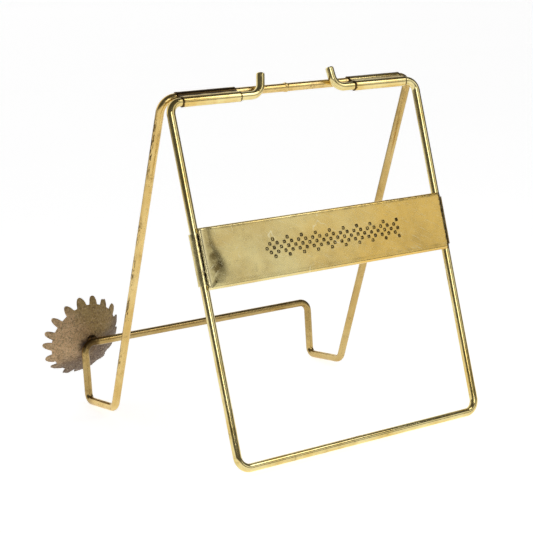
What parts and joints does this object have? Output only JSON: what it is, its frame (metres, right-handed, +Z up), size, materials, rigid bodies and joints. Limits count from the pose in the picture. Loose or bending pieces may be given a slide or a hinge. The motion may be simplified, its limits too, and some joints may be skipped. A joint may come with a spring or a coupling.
{
  "type": "wire album stand",
  "caption": "Folding easel of bent brass wire: a front frame with a folded plate and upturned prongs, hinged by sheet sleeves to a rear bail with a toothed dome at its corner.",
  "frame": {"origin": "centre of the bounding box in X and Y, on the table plane under the foot bar and the two heels", "axes": "+Z up; -Y is the front, where the plate faces; +X to the right seen from the front, along the hinge line"},
  "size_m": [0.1226, 0.1278, 0.13],
  "materials": {
    "front_wire": "aged polish",
    "bail_wire": "aged, pitted",
    "braze": "lumpy",
    "sleeve_sheet": "aged polish",
    "plate_sheet": "polished, scratched",
    "cap_bronze": "brown patina, rough",
    "solder": "dull"
  },
  "bodies": {
    "front": {"front_frame": "front_wire", "left_hinge_sleeve": "sleeve_sheet", "right_hinge_sleeve": "sleeve_sheet", "nameplate": "plate_sheet"},
    "bail": {"rear_bail": "bail_wire", "bail_braze": "braze", "toothed_cap": "cap_bronze", "cap_solder": "solder"}
  },
  "joints": [
    {"name": "bail_hinge", "type": "hinge", "parent": "front", "child": "bail", "pos_m": [0.00655, -0.02516, 0.12367], "axis": [1, 0, 0], "range_deg": [-37.2, 205]}
  ]
}
